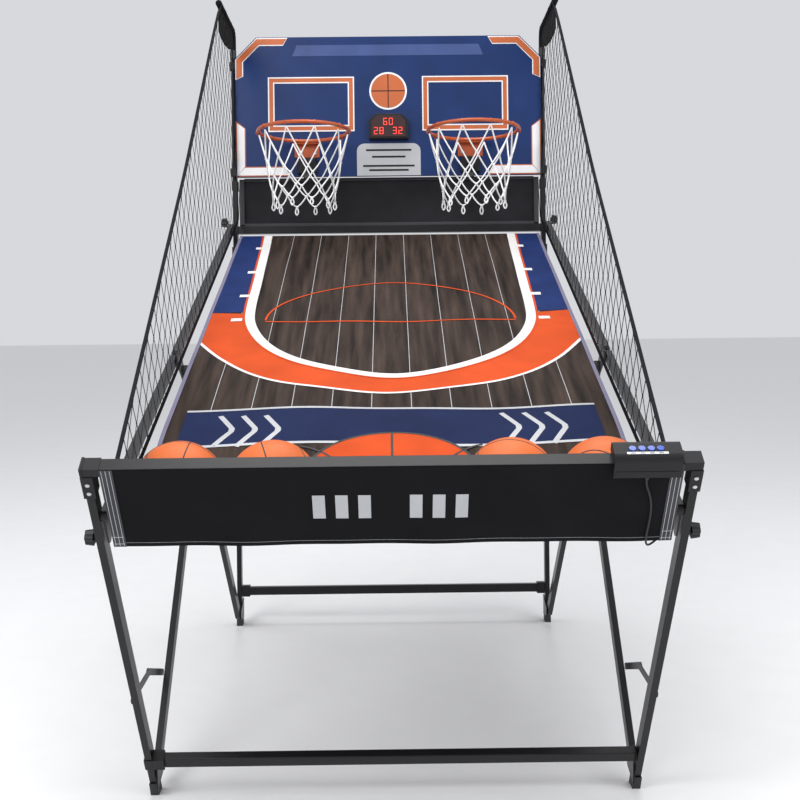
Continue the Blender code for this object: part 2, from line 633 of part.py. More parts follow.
def cable(leg):
    """Lead from the control box down the apron, under its hem and up into the front rail."""
    face = -LEG_OFFSET - 0.015 - GAP - APRON_THICK - 0.0026
    hem = RAIL_Z + HALF_TUBE - APRON_DROP
    route = [(0.4520, -0.0612, CONTROL_LIP - GAP), (0.4522, -0.0608, 0.915),
             (0.4560, face, 0.898), (0.4650, face, 0.872), (0.4695, face, 0.842),
             (0.4700, face, 0.810), (0.4690, face, 0.782), (0.4695, face, hem + 0.004),
             (0.4730, face + 0.001, hem - 0.008), (0.4810, -0.050, hem - 0.014),
             (0.4920, -0.042, hem - 0.012), (0.5020, -0.038, hem - 0.002),
             (0.5070, -0.038, hem + 0.018), (0.5080, -0.038, hem + 0.060),
             (0.5080, -0.038, hem + 0.110), (0.5080, -0.038, RAIL_Z - HALF_TUBE - GAP)]
    points = [Vector(p) for p in route]
    curve = bpy.data.curves.new("control_cable", "CURVE")
    curve.dimensions = "3D"
    curve.bevel_depth = 0.002
    curve.bevel_resolution = 2
    curve.use_fill_caps = True
    smooth = []
    padded = [points[0], *points, points[-1]]
    for i in range(len(points) - 1):
        a, b, c, d = padded[i:i + 4]
        for j in range(3):
            t = j / 3
            smooth.append(0.5 * (2 * b + (c - a) * t + (2 * a - 5 * b + 4 * c - d) * t ** 2
                                 + (3 * b - a - 3 * c + d) * t ** 3))
    smooth.append(points[-1])
    spline = curve.splines.new("POLY")
    spline.points.add(len(smooth) - 1)
    for point, place in zip(spline.points, smooth):
        point.co = (*place, 1)
    curve.materials.append(black_plastic())
    lead = bpy.data.objects.new("control_cable", curve)
    bpy.context.collection.objects.link(lead)
    lead.parent = leg


# --- stays ----------------------------------------------------------------------------------
def stays(leg_body, strut_body):
    leg_end, strut_end, middle = knee()
    inner = OUTER_X + HALF_TUBE + 0.0018
    for label, side in SIDES:
        for name, start, end, x, body in (
                ("leg", leg_end, middle, inner, leg_body),
                ("strut", strut_end, middle, inner + 0.0034, strut_body)):
            low, high = sorted((side * x, side * (x + 0.003)))
            make(f"stay_{name}_link_{label}", prism_bmesh(
                bar_outline(start, end, 0.016, True, True), low, high), steel(), body,
                origin=(side * x, *start), world=True)


# --- balls ----------------------------------------------------------------------------------
def balls(leg):
    orange = material("ball_orange", (0.80, 0.22, 0.04), 0.55)
    for number, x in enumerate(BALL_X, start=1):
        bm = bmesh.new()
        centre = (x, *BALL_YZ)
        bmesh.ops.create_uvsphere(bm, u_segments=18, v_segments=12, radius=BALL_R,
                                  matrix=Matrix.Translation(centre))
        make(f"ball_{number}", bm, orange, leg, origin=centre, world=True)


def build():
    clear_scene()
    rear = empty("rear_frame", UPRIGHT_FOOT_Y, 0.0, tilt=-LEAN)
    rear_strut_body = empty("rear_struts", *REAR_PIVOT)
    front_strut_body = empty("front_struts", *SCISSOR_PIVOT, parent=rear_strut_body)
    leg = empty("front_frame", *FRONT_PIVOT, parent=front_strut_body, tilt=LEG_LEAN)
    front_rail_body = empty("front_rails", *RAIL_HINGE_FRONT, parent=rear_strut_body)
    rear_rail_body = empty("rear_rails", *RAIL_HINGE_REAR, parent=rear_strut_body)
    leg_end, strut_end, _ = knee()
    leg_stay_body = empty("leg_stays", *leg_end, parent=leg)
    strut_stay_body = empty("strut_stays", *strut_end, parent=front_strut_body)

    uprights(rear)
    cross_tubes(rear)
    poles(rear)
    backboard(rear)
    scoreboard(rear)
    hoops(rear)
    score_levers(rear)
    soft_rear(rear)
    rear_knobs(rear)
    playfield()
    side_nets()
    rear_struts(rear_strut_body)
    front_struts(front_strut_body)
    side_rails(front_rail_body, rear_rail_body)
    front_legs(leg)
    front_cross_parts(leg)
    control_box(leg)
    cable(leg)
    stays(leg_stay_body, strut_stay_body)
    balls(leg)


build()
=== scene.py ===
"""Looks for the folding basketball hoop machine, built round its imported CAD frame.

World frame: +X to the player's right, -Y towards the player, +Z up, metres.
"""
import math
import random

import bmesh
import bpy
from mathutils import Matrix, Vector


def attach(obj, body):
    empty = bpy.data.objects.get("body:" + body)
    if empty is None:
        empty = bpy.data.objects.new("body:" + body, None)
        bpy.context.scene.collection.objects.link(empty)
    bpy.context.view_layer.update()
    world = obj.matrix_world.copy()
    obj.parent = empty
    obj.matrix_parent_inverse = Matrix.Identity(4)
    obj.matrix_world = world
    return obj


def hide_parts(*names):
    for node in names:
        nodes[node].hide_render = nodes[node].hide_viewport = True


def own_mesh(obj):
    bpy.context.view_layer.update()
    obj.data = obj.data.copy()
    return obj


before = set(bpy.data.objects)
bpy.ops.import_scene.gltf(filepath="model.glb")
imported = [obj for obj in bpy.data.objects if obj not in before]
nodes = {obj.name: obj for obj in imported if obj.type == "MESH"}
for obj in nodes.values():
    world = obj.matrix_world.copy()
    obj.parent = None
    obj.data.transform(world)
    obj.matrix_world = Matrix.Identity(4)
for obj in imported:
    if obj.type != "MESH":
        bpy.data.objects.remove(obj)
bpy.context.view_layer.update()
rng = random.Random(7)

# --- dimensions shared with the CAD part ----------------------------------------------------
LEAN = math.radians(6.2)
PITCH = math.radians(17.1)
STRUT_ANGLE = math.radians(44.5)
LEG_LEAN = math.radians(32.1)
UPRIGHT_FOOT_Y = 0.8131
FRONT_PIVOT = (-0.4629, 0.05)
REAR_PIVOT = (0.7601, 0.05)
SCISSOR_PIVOT = (0.1486, 0.65092)
RAIL_HINGE_FRONT = (-0.189451, 0.958455)
RAIL_HINGE_REAR = (-0.151219, 0.970217)
LEG_OFFSET = 0.038
OUTER_X, MIDDLE_X, INNER_X, HALF_TUBE = 0.5425, 0.5265, 0.5105, 0.0075
POLE_X, POLE_TOP = 0.5128, 1.965
ARM_REACH, ARM_DROP = 0.335, 0.010
HOOP_X, HOOP_Y, HOOP_Z, HOOP_R = 0.269, -0.198, 1.592, 0.143
NET_LOW_R = 0.100
BOARD_HALF_X, BOARD_LOW, BOARD_HIGH, BOARD_CUT = 0.505, 1.480, 1.940, 0.071
BOARD_FACE = -0.030
RAIL_Z = 0.9431
APRON_TOP, APRON_DROP, APRON_HALF_X = RAIL_Z + HALF_TUBE, 0.190, 0.5182
APRON_FACE = -0.0543
PLAYFIELD_REAR = (0.9331, 1.2815)
PLAYFIELD_HALF_X = 0.4945
SLOPE_END = -0.4934
BALL_R, BALL_YZ = 0.0889, (-0.8449, 0.7635)
BALL_X = (-0.405, -0.2265, 0.2265, 0.405)
TROUGH_R = BALL_R + 0.0009
SIDES = (("left", -1), ("right", 1))


def leg(x, y, z):
    c, s = math.cos(LEG_LEAN), math.sin(LEG_LEAN)
    return Vector((x, FRONT_PIVOT[0] + y * c - z * s, FRONT_PIVOT[1] + y * s + z * c))


def rear(x, y, z):
    c, s = math.cos(LEAN), math.sin(LEAN)
    return Vector((x, UPRIGHT_FOOT_Y + y * c + z * s, -y * s + z * c))


# --- camera ---------------------------------------------------------------------------------
camera_data = bpy.data.cameras.new("camera")
camera_data.lens, camera_data.sensor_width = 54.9, 36.0
camera = bpy.data.objects.new("camera", camera_data)
camera.location = (0.0, -3.14, 1.1785)
camera.matrix_world = (Matrix.Translation(camera.location) @ Matrix.Rotation(math.radians(-0.40), 4, "Z")
                       @ Matrix.Rotation(math.radians(90 - 6.27), 4, "X")
                       @ Matrix.Rotation(math.radians(-0.6), 4, "Z"))
bpy.context.collection.objects.link(camera)
bpy.context.scene.camera = camera


# --- materials ------------------------------------------------------------------------------
def finish_of(name, colour, rough, metal=0.0, grain=400.0, bump=0.05, vary=0.15, weave=0.0,
              coat=0.0, glow=0.0, sheen=0.0, stretch=None, gloss=0.5):
    """A procedural finish: slight colour variation, and a fine grain or a weave in the bump."""
    mat = bpy.data.materials.new(name)
    mat.use_nodes = True
    tree = mat.node_tree
    shader = tree.nodes["Principled BSDF"]
    shader.inputs["Roughness"].default_value = rough
    shader.inputs["Metallic"].default_value = metal
    shader.inputs["Coat Weight"].default_value = coat
    shader.inputs["Sheen Weight"].default_value = sheen
    shader.inputs["Specular IOR Level"].default_value = gloss
    if glow:
        shader.inputs["Emission Color"].default_value = (*colour, 1)
        shader.inputs["Emission Strength"].default_value = glow
    place = tree.nodes.new("ShaderNodeTexCoord")
    wide = tree.nodes.new("ShaderNodeTexNoise")
    wide.inputs["Scale"].default_value = 9.0
    ramp = tree.nodes.new("ShaderNodeValToRGB")
    ramp.color_ramp.elements[0].position, ramp.color_ramp.elements[1].position = 0.3, 0.7
    ramp.color_ramp.elements[0].color = (*(c * (1 - vary) for c in colour), 1)
    ramp.color_ramp.elements[1].color = (*(min(c * (1 + vary), 1) for c in colour), 1)
    if stretch:
        scaled = tree.nodes.new("ShaderNodeMapping")
        scaled.inputs["Scale"].default_value = stretch
        tree.links.new(place.outputs["Object"], scaled.inputs["Vector"])
        tree.links.new(scaled.outputs["Vector"], wide.inputs["Vector"])
        wide.inputs["Detail"].default_value = 6.0
    else:
        tree.links.new(place.outputs["Object"], wide.inputs["Vector"])
    tree.links.new(wide.outputs["Fac"], ramp.inputs["Fac"])
    tree.links.new(ramp.outputs["Color"], shader.inputs["Base Color"])
    fine = tree.nodes.new("ShaderNodeTexNoise")
    fine.inputs["Scale"].default_value = grain
    tree.links.new(place.outputs["Object"], fine.inputs["Vector"])
    height = fine.outputs["Fac"]
    if weave:
        for direction in ("X", "Z"):
            wave = tree.nodes.new("ShaderNodeTexWave")
            wave.bands_direction = direction
            wave.inputs["Scale"].default_value = weave
            tree.links.new(place.outputs["Object"], wave.inputs["Vector"])
            add = tree.nodes.new("ShaderNodeMath")
            tree.links.new(height, add.inputs[0])
            tree.links.new(wave.outputs["Fac"], add.inputs[1])
            height = add.outputs[0]
    relief = tree.nodes.new("ShaderNodeBump")
    relief.inputs["Strength"].default_value = min(bump * 4, 1.0)
    relief.inputs["Distance"].default_value = 0.0006
    tree.links.new(height, relief.inputs["Height"])
    tree.links.new(relief.outputs["Normal"], shader.inputs["Normal"])
    return mat


STEEL = finish_of("powder_black", (0.005, 0.005, 0.006), 0.34, 0.0, 1500, 0.03, gloss=0.3)
PLASTIC = finish_of("moulded_black", (0.005, 0.005, 0.006), 0.42, 0, 1800, 0.04, gloss=0.3)
ZINC = finish_of("zinc", (0.55, 0.55, 0.57), 0.3, 1.0, 900, 0.02)
ORANGE = finish_of("orange_coat", (0.46, 0.080, 0.014), 0.32, 0.1, 1200, 0.03, 0.06, coat=0.3)
BLUE = finish_of("board_blue", (0.007, 0.026, 0.110), 0.30, 0, 800, 0.01, 0.12, gloss=0.3)
LIGHT_BLUE = finish_of("board_light", (0.035, 0.065, 0.20), 0.25, 0, 800, 0.01, 0.15, coat=0.4)
WHITE = finish_of("print_white", (0.75, 0.75, 0.76), 0.4, 0, 800, 0.01, 0.04)
PRINT_ORANGE = finish_of("print_orange", (0.46, 0.105, 0.025), 0.4, 0, 800, 0.01, 0.08)
PANEL = finish_of("panel_grey", (0.42, 0.43, 0.45), 0.4, 0, 800, 0.01, 0.05)
LENS = finish_of("lens", (0.03, 0.004, 0.004), 0.12, 0, 300, 0.0, 0.1, coat=0.6)
RED = finish_of("digits", (1.0, 0.05, 0.03), 0.4, 0, 300, 0.0, 0.02, glow=2.0)
CORD = finish_of("cord_white", (0.82, 0.82, 0.82), 0.85, 0, 2200, 0.15, 0.05, sheen=0.3)
NETTING = finish_of("cord_black", (0.006, 0.006, 0.006), 0.85, 0, 2200, 0.10)
WEBBING = finish_of("webbing_grey", (0.060, 0.060, 0.065), 0.85, 0, 900, 0.12, 0.12, 190, gloss=0.12)
FABRIC = finish_of("fabric_black", (0.006, 0.006, 0.007), 0.85, 0, 900, 0.10, 0.2, 230, gloss=0.12)
CHARCOAL = finish_of("fabric_charcoal", (0.022, 0.022, 0.025), 0.9, 0, 900, 0.10, 0.2, 230, gloss=0.12)
PLANK = finish_of("court_brown", (0.036, 0.024, 0.019), 0.7, 0, 900, 0.08, 0.75, 230,
                  stretch=(5.0, 0.35, 0.35), gloss=0.12)
COURT_BLUE = finish_of("court_blue", (0.010, 0.026, 0.115), 0.7, 0, 900, 0.08, 0.15, 230, gloss=0.12)
COURT_ORANGE = finish_of("court_orange", (0.56, 0.070, 0.013), 0.7, 0, 900, 0.08, 0.1, 230, gloss=0.12)
COURT_WHITE = finish_of("court_white", (0.72, 0.71, 0.70), 0.7, 0, 900, 0.08, 0.05, 230, gloss=0.12)
NAVY = finish_of("court_navy", (0.007, 0.015, 0.060), 0.7, 0, 900, 0.08, 0.15, 230, gloss=0.12)
LAVENDER = finish_of("edge_pale", (0.20, 0.19, 0.27), 0.8, 0, 900, 0.1, 0.06, 230, gloss=0.12)
BALL = finish_of("ball_pebble", (0.62, 0.120, 0.012), 0.5, 0, 1100, 0.20, 0.08)
SEAM = finish_of("ball_seam", (0.012, 0.011, 0.011), 0.6, 0, 900, 0.03)
BUTTON = finish_of("button_blue", (0.02, 0.07, 0.42), 0.2, 0, 900, 0.01, 0.05, coat=0.5)
RUBBER = finish_of("jacket", (0.012, 0.012, 0.013), 0.6, 0, 1500, 0.04)
FOOT = finish_of("foot_rubber", (0.020, 0.020, 0.020), 0.7, 0, 1500, 0.06)

CAD_FINISH = {"hoop_rim": ORANGE, "hoop_bracket": ORANGE, "backboard_clamp": PLASTIC,
              "scoreboard_housing": PLASTIC, "scoreboard_lens": LENS, "score_": PLASTIC,
              "rear_knob": PLASTIC, "front_knob": PLASTIC, "control_box": PLASTIC,
              "control_button": BUTTON}
for name, node in nodes.items():
    finish = next((m for start, m in CAD_FINISH.items() if name.startswith(start)), STEEL)
    if name == "backboard":
        finish = BLUE
    node.data.materials.clear()
    node.data.materials.append(finish)


# --- building pieces ------------------------------------------------------------------------
class Shape:
    """Gathers faces in world coordinates, then becomes one piece."""

    def __init__(self):
        self.verts, self.faces, self.tags = [], [], []

    def add(self, verts, faces, tag=0):
        base = len(self.verts)
        self.verts += [tuple(v) for v in verts]
        self.faces += [tuple(base + i for i in f) for f in faces]
        self.tags += [tag] * len(faces)

    def grid(self, rows, tag=0):
        wide = len(rows[0])
        verts = [p for row in rows for p in row]
        faces = [(i * wide + j, i * wide + j + 1, (i + 1) * wide + j + 1, (i + 1) * wide + j)
                 for i in range(len(rows) - 1) for j in range(wide - 1)]
        self.add(verts, faces, tag)

    def tube(self, points, radius, sides=6, tag=0, closed=False):
        points = [Vector(p) for p in points]
        count, verts, normal = len(points), [], None
        for i, p in enumerate(points):
            before = points[i - 1] if (closed or i) else p
            after = points[(i + 1) % count] if (closed or i < count - 1) else p
            along = (after - before).normalized()
            if normal is None:
                normal = along.orthogonal().normalized()
            normal = (normal - along * normal.dot(along)).normalized()
            other = along.cross(normal)
            verts += [p + (normal * math.cos(a) + other * math.sin(a)) * radius
                      for a in (math.tau * k / sides for k in range(sides))]
        faces = []
        for i in range(count if closed else count - 1):
            a, b = i * sides, ((i + 1) % count) * sides
            faces += [(a + k, a + (k + 1) % sides, b + (k + 1) % sides, b + k)
                      for k in range(sides)]
        if not closed:
            faces += [tuple(range(sides))[::-1], tuple((count - 1) * sides + k
                                                       for k in range(sides))]
        self.add(verts, faces, tag)

    def knot(self, place, size, tag=0):
        p = Vector(place)
        verts = [p + Vector(d) * size for d in ((1, 0, 0), (-1, 0, 0), (0, 1, 0), (0, -1, 0),
                                                (0, 0, 1), (0, 0, -1))]
        faces = [(0, 2, 4), (2, 1, 4), (1, 3, 4), (3, 0, 4), (2, 0, 5), (1, 2, 5), (3, 1, 5),
                 (0, 3, 5)]
        self.add(verts, faces, tag)

    def block(self, low, high, place, tag=0):
        """A box between two corners, put in the world by a frame function."""
        corners = [place(x, y, z) for x in (low[0], high[0]) for y in (low[1], high[1])
                   for z in (low[2], high[2])]
        self.add(corners, [(0, 1, 3, 2), (4, 6, 7, 5), (0, 4, 5, 1), (2, 3, 7, 6), (0, 2, 6, 4),
                           (1, 5, 7, 3)], tag)

    def disc(self, centre, axis, radius, depth, sides=20, tag=0, dome=0.0):
        """A washer, bolt head or rivet, with an optional domed top."""
        axis = Vector(axis).normalized()
        normal = axis.orthogonal().normalized()
        other = axis.cross(normal)
        levels = [(radius, 0.0), (radius, depth * 0.7), (radius * 0.85, depth)]
        if dome:
            levels += [(radius * 0.55, depth + dome * 0.7), (radius * 0.2, depth + dome)]
        verts = []
        for r, height in levels:
            verts += [Vector(centre) + axis * height
                      + (normal * math.cos(a) + other * math.sin(a)) * r
                      for a in (math.tau * k / sides for k in range(sides))]
        faces = [tuple(range(sides))[::-1]]
        for i in range(len(levels) - 1):
            faces += [(i * sides + k, i * sides + (k + 1) % sides,
                       (i + 1) * sides + (k + 1) % sides, (i + 1) * sides + k)
                      for k in range(sides)]
        faces.append(tuple((len(levels) - 1) * sides + k for k in range(sides)))
        self.add(verts, faces, tag)

    def piece(self, name, mats, body, slot, smooth=35):
        mesh = bpy.data.meshes.new(name)
        mesh.from_pydata(self.verts, [], self.faces)
        for mat in (mats if isinstance(mats, (list, tuple)) else [mats]):
            mesh.materials.append(mat)
        mesh.polygons.foreach_set("material_index", self.tags)
        bm = bmesh.new()
        bm.from_mesh(mesh)
        bmesh.ops.recalc_face_normals(bm, faces=bm.faces)
        bm.to_mesh(mesh)
        bm.free()
        mesh.shade_smooth()
        mesh.set_sharp_from_angle(angle=math.radians(smooth))
        obj = bpy.data.objects.new(name, mesh)
        bpy.context.collection.objects.link(obj)
        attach(obj, body)
        return obj


def arc(centre, radius, start, end, steps):
    return [(centre[0] + radius * math.cos(a), centre[1] + radius * math.sin(a))
            for a in (math.radians(start + (end - start) * i / steps) for i in range(steps + 1))]


def smooth_path(points, steps=3):
    """Catmull-Rom through the points."""
    points = [Vector(p) for p in points]
    padded = [points[0], *points, points[-1]]
    out = []
    for i in range(len(points) - 1):
        a, b, c, d = padded[i:i + 4]
        for j in range(steps):
            t = j / steps
            out.append(0.5 * (2 * b + (c - a) * t + (2 * a - 5 * b + 4 * c - d) * t ** 2
                              + (3 * b - a - 3 * c + d) * t ** 3))
    return out + [points[-1]]


# --- the lead from the control box ----------------------------------------------------------
FACE, HEM = -0.0579, APRON_TOP - APRON_DROP
lead_route = smooth_path([
    (0.4520, -0.0612, 0.9257), (0.4522, -0.0608, 0.915), (0.4560, FACE, 0.898),
    (0.4650, FACE, 0.872), (0.4695, FACE, 0.842), (0.4700, FACE, 0.810), (0.4690, FACE, 0.782),
    (0.4695, FACE, HEM + 0.004), (0.4730, FACE + 0.001, HEM - 0.008),
    (0.4810, -0.050, HEM - 0.014), (0.4920, -0.042, HEM - 0.012), (0.5020, -0.038, HEM - 0.002),
    (0.5070, -0.038, HEM + 0.018), (0.5080, -0.038, HEM + 0.060), (0.5080, -0.038, HEM + 0.110),
    (0.5080, -0.038, RAIL_Z - 0.0078)])
lead_points = [leg(*p) for p in lead_route]
lead_curve = bpy.data.curves.new("control_lead", "CURVE")
lead_curve.dimensions, lead_curve.bevel_depth, lead_curve.bevel_resolution = "3D", 0.002, 3
lead_curve.use_fill_caps = True
spline = lead_curve.splines.new("POLY")
spline.points.add(len(lead_points) - 1)
for knot, place in zip(spline.points, lead_points):
    knot.co = (*place, 1)
lead_curve.materials.append(RUBBER)
lead = bpy.data.objects.new("control_lead", lead_curve)
bpy.context.collection.objects.link(lead)
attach(lead, "front_frame")
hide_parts("control_cable")


# --- playfield ------------------------------------------------------------------------------
def court_line():
    """The playfield's upper line from the rear bar, down the slope and round the trough."""
    rear_y, rear_z = PLAYFIELD_REAR
    line = [(rear_y, rear_z), (SLOPE_END, rear_z - (rear_y - SLOPE_END) * math.tan(PITCH))]
    trough = arc(BALL_YZ, TROUGH_R, -60, -158, 12)
    start, end = Vector(line[-1]), Vector(trough[0])
    pull = (start - end).length * 0.45
    a = start + Vector((-math.cos(PITCH), -math.sin(PITCH))) * pull
    b = end + Vector((math.cos(math.radians(30)), math.sin(math.radians(30)))) * pull
    curve = [tuple(start * (1 - t) ** 3 + a * 3 * t * (1 - t) ** 2 + b * 3 * t ** 2 * (1 - t)
                   + end * t ** 3) for t in (i / 12 for i in range(1, 12))]
    return line + curve + trough + [tuple(leg(0, -0.0195, RAIL_Z - 0.030).yz)]


COURT = court_line()
COURT_STEPS = [0.0]
for p, q in zip(COURT, COURT[1:]):
    COURT_STEPS.append(COURT_STEPS[-1] + math.dist(p, q))
COURT_LENGTH = COURT_STEPS[-1]
SLOPE_LENGTH = COURT_STEPS[1]


def along_court(y):
    """Distance down the fabric for a world Y on the slope."""
    return (PLAYFIELD_REAR[0] - y) / math.cos(PITCH)


def court(x, s, lift=0.0):
    """A point on the playfield, s down the fabric from the rear bar, with its slack ripples."""
    s = min(max(s, 0.0), COURT_LENGTH - 1e-6)
    i = max(k for k, step in enumerate(COURT_STEPS[:-1]) if step <= s)
    t = (s - COURT_STEPS[i]) / (COURT_STEPS[i + 1] - COURT_STEPS[i])
    (y0, z0), (y1, z1) = COURT[i], COURT[i + 1]
    normal = Vector((0, z1 - z0, y0 - y1)).normalized()
    free = min(s / 0.15, 1.0) * min(max((SLOPE_LENGTH + 0.12 - s) / 0.30, 0.0), 1.0)
    edge = min((PLAYFIELD_HALF_X - abs(x)) / 0.06, 1.0) if abs(x) < PLAYFIELD_HALF_X else 0.0
    ripple = (0.0016 * math.sin(13 * s + 3.1 * math.sin(5.3 * x))
              + 0.0012 * math.sin(21 * x + 4 * s) - 0.0016)
    place = Vector((x, y0 + (y1 - y0) * t, z0 + (z1 - z0) * t))
    return place + normal * (ripple * free * (0.35 + 0.65 * edge) + lift)


cloth = Shape()
cloth.grid([[court(-PLAYFIELD_HALF_X + 2 * PLAYFIELD_HALF_X * j / 80, COURT_LENGTH * i / 170)
             for j in range(81)] for i in range(171)])
playfield = cloth.piece("playfield_cloth", PLANK, "rear_frame", "playfield_print")
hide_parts("playfield")

PRINTS = Shape()
PRINT_MATS = [COURT_WHITE, COURT_ORANGE, COURT_BLUE, NAVY, LAVENDER, PANEL, SEAM]
TO_WHITE, TO_ORANGE, TO_BLUE, TO_NAVY, TO_PALE, TO_GREY, TO_BLACK = range(7)


def resample(points, count):
    total = [0.0]
    for p, q in zip(points, points[1:]):
        total.append(total[-1] + math.dist(p, q))
    out = []
    for k in range(count):
        d = total[-1] * k / (count - 1)
        i = max(j for j in range(len(points) - 1) if total[j] <= d + 1e-9)
        t = (d - total[i]) / max(total[i + 1] - total[i], 1e-9)
        out.append(tuple(a + (b - a) * t for a, b in zip(points[i], points[i + 1])))
    return out


def fill(edge_a, edge_b, tag, lift, steps=12, count=90):
    """Print between two lines of (x, s) points."""
    a, b = resample(edge_a, count), resample(edge_b, count)
    PRINTS.grid([[court(p[0] + (q[0] - p[0]) * i / steps, p[1] + (q[1] - p[1]) * i / steps, lift)
                  for p, q in zip(a, b)] for i in range(steps + 1)], tag)


def stripe(points, width, tag, lift, count=90, shift=0.0):
    """A printed line of one width along (x, s) points."""
    points = resample(points, count)
    edges = ([], [])
    for i, p in enumerate(points):
        before, after = points[max(i - 1, 0)], points[min(i + 1, count - 1)]
        d = Vector((after[0] - before[0], after[1] - before[1])).normalized()
        for edge, off in zip(edges, (shift - width / 2, shift + width / 2)):
            edge.append((p[0] - d.y * off, p[1] + d.x * off))
    fill(*edges, tag, lift, 1, count)


def bend_through(points, steps=8):
    return [tuple(p.xy) for p in smooth_path([(*p, 0) for p in points], steps)]


def court_curve(points):
    """A curve over the court, given by its left half and its middle point."""
    left = [(x, along_court(y)) for x, y in points]
    return bend_through(left + [(-x, d) for x, d in reversed(left[:-1])])


lane = court_curve([(-0.402, 0.93), (-0.392, 0.51), (-0.387, 0.25), (-0.372, 0.10),
                    (-0.322, -0.030), (-0.235, -0.135), (-0.120, -0.212), (0.0, -0.242)])
outer = court_curve([(-0.4935, -0.010), (-0.420, -0.130), (-0.325, -0.232), (-0.200, -0.300),
                     (0.0, -0.338)])
lane_low = [p for p in lane if p[1] > along_court(0.20)]
outer_full = [(-0.4935, along_court(0.20)), *outer, (0.4935, along_court(0.20))]
for i in range(1, 11):
    x = -PLAYFIELD_HALF_X + 2 * PLAYFIELD_HALF_X * i / 11
    stripe([(x, 0.004), (x, along_court(-0.43))], 0.0016, TO_GREY, 0.0003)
fill(lane_low, outer_full, TO_ORANGE, 0.0007)
stripe(outer, 0.009, TO_WHITE, 0.0012)
for side in (-1, 1):
    fill([(side * 0.404, 0.004), (side * 0.386, along_court(0.20))],
         [(side * 0.4935, 0.004), (side * 0.4935, along_court(0.20))], TO_BLUE, 0.0007, 8, 60)
    for y in (0.80, 0.553, 0.342, 0.14):
        stripe([(side * 0.398, along_court(y)), (side * 0.428, along_court(y))], 0.022, TO_WHITE,
               0.0016, 5)
    fill([(side * 0.4850, 0.002), (side * 0.4850, SLOPE_LENGTH + 0.12)],
         [(side * 0.4942, 0.002), (side * 0.4942, SLOPE_LENGTH + 0.12)], TO_PALE, 0.0020, 2, 120)
stripe(lane, 0.030, TO_WHITE, 0.0011, 160)
stripe(lane, 0.006, TO_ORANGE, 0.0015, 160, 0.014)
KEY_R = 0.335
key = arc((0.0, 0.0), KEY_R, 180, 0, 40)
stripe([(x, along_court(0.135 + 0.9 * y)) for x, y in key], 0.006, TO_ORANGE, 0.0013)
stripe([(-KEY_R, along_court(0.125)), (KEY_R, along_court(0.125))], 0.007, TO_ORANGE, 0.0013)

banner_top = [(x, along_court(-0.428) + 0.010 * math.sin(9 * x)) for x in
              (-0.455 + 0.91 * i / 40 for i in range(41))]
banner_low = [(x, s + 0.175) for x, s in banner_top]
fill(banner_top, banner_low, TO_NAVY, 0.0007)
for edge in (banner_top, banner_low):
    stripe(edge, 0.009, TO_GREY, 0.0012)
for x in (-0.36, -0.31, -0.26, 0.26, 0.31, 0.36):
    stripe([(x - 0.018, along_court(-0.46)), (x + 0.018, along_court(-0.53)),
            (x - 0.018, along_court(-0.60))], 0.012, TO_GREY, 0.0012, 12)

BALL_S, PRINT_BALL_R = 1.745, 0.190


def on_print_ball(a, r=PRINT_BALL_R):
    return (r * math.cos(a), BALL_S + r * math.sin(a))


half = [math.pi + math.pi * i / 60 for i in range(61)]
fill([on_print_ball(a) for a in half], [on_print_ball(-a) for a in half], TO_ORANGE, 0.0017, 40,
     61)
circle = [on_print_ball(math.tau * i / 90) for i in range(91)]
stripe(circle, 0.006, TO_BLACK, 0.0022, 120)
stripe([(-PRINT_BALL_R, BALL_S), (PRINT_BALL_R, BALL_S)], 0.005, TO_BLACK, 0.0022)
stripe([(0, BALL_S - PRINT_BALL_R), (0, BALL_S + PRINT_BALL_R)], 0.005, TO_BLACK, 0.0022)
for side in (-1, 1):
    stripe([(side * (0.235 - 0.145 * math.cos(a)), BALL_S + 0.145 * math.sin(a))
            for a in (math.radians(-72 + 144 * i / 30) for i in range(31))], 0.005, TO_BLACK,
           0.0022)
prints = PRINTS.piece("playfield_prints", PRINT_MATS, "rear_frame", "playfield_print")

TROUGH_END_X = 0.4952
ends = Shape()
for side in (-1, 1):
    steps = [SLOPE_LENGTH - 0.05 + (COURT_LENGTH - SLOPE_LENGTH + 0.05) * i / 40 for i in range(41)]
    low_edge = [court(side * TROUGH_END_X, s) for s in steps]
    high_edge = [Vector((side * TROUGH_END_X, p.y, max(p.z, 0.796 + 0.045 * max(-p.y - 0.76, 0) * 3)))
                 for p in low_edge]
    ends.grid([[a + (b - a) * k / 6 for k in range(7)] for a, b in zip(low_edge, high_edge)])
trough_ends = ends.piece("trough_end_cloths", FABRIC, "rear_frame", "playfield_print")

# --- side nets ------------------------------------------------------------------------------
NET_FRONT = leg(0, -0.010, RAIL_Z - 0.020).yz
NET_LOW = Vector((-0.760, 0.800))
NET_CORNERS = [NET_FRONT, NET_LOW, rear(0, -0.040, 1.335).yz, rear(0, -0.040, POLE_TOP - 0.020).yz,
               rear(0, -ARM_REACH + 0.004, POLE_TOP - ARM_DROP - 0.012).yz]
MESH_W, MESH_H = 0.066, 0.078
MESH_COLUMNS, MESH_ROWS = 66, 52
MESH_START = (-1.05, 0.80)


def net_x(y, z):
    """The net stands straight up to the struts' folded height, then leans out to the arm."""
    return 0.4985 + 0.012 * min(max((z - 1.42) / 0.48, 0.0), 1.0)


def clip(a, b):
    """The stretch of a line inside the net's outline, or None."""
    low, high = 0.0, 1.0
    for p, q in zip(NET_CORNERS, NET_CORNERS[1:] + NET_CORNERS[:1]):
        normal = Vector((-(q - p).y, (q - p).x))
        start, step = normal.dot(a - p), normal.dot(b - a)
        if abs(step) < 1e-12:
            if start < 0:
                return None
            continue
        t = -start / step
        low, high = (max(low, t), high) if step > 0 else (low, min(high, t))
    return (a + (b - a) * low, a + (b - a) * high) if low < high else None


